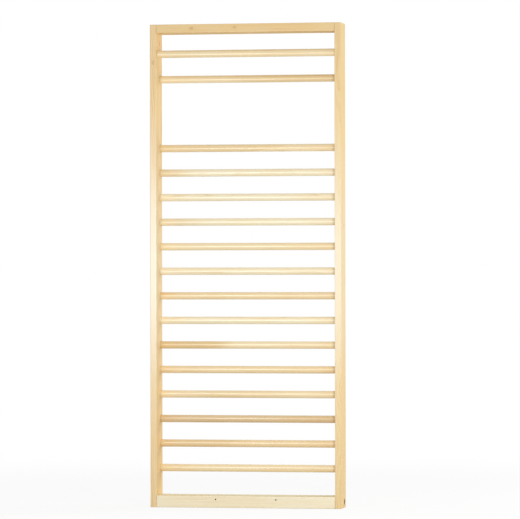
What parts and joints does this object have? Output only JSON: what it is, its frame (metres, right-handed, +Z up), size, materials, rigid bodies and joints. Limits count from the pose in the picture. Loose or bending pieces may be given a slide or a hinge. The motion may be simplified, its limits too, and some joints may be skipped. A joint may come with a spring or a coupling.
{
  "type": "wall bars",
  "caption": "Wooden wall bars for gymnastics: two flat uprights joined by a top and a bottom rail, with round rungs in blind sockets and the top rung set forward for hanging.",
  "frame": {"origin": "at floor level, midway between the uprights and midway through their depth", "axes": "+Z up, +X along the rungs to the right as seen from the room, +Y from the room towards the wall"},
  "size_m": [0.9, 0.14, 2.25],
  "materials": {
    "pine_boards": "clear satin lacquer",
    "pale_pine_board": "clear satin lacquer",
    "pine_rungs": "clear satin lacquer",
    "beech_dowels": "raw",
    "black_hardware": "black oxide",
    "zinc_hardware": "zinc plated"
  },
  "bodies": {
    "root": {"left_upright": "pine_boards", "right_upright": "pine_boards", "top_rail": "pine_boards", "bottom_rail": "pale_pine_board", "rung_01": "pine_rungs", "rung_02": "pine_rungs", "rung_03": "pine_rungs", "rung_04": "pine_rungs", "rung_05": "pine_rungs", "rung_06": "pine_rungs", "rung_07": "pine_rungs", "rung_08": "pine_rungs", "rung_09": "pine_rungs", "rung_10": "pine_rungs", "rung_11": "pine_rungs", "rung_12": "pine_rungs", "rung_13": "pine_rungs", "rung_14": "pine_rungs", "rung_15": "pine_rungs", "rung_16": "pine_rungs", "top_dowel_left_front": "beech_dowels", "top_dowel_left_rear": "beech_dowels", "top_dowel_right_front": "beech_dowels", "top_dowel_right_rear": "beech_dowels", "bottom_dowel_left": "beech_dowels", "bottom_dowel_right": "beech_dowels", "bolt_left": "black_hardware", "bolt_right": "black_hardware", "barrel_nut_left": "zinc_hardware", "barrel_nut_right": "zinc_hardware"}
  },
  "joints": []
}
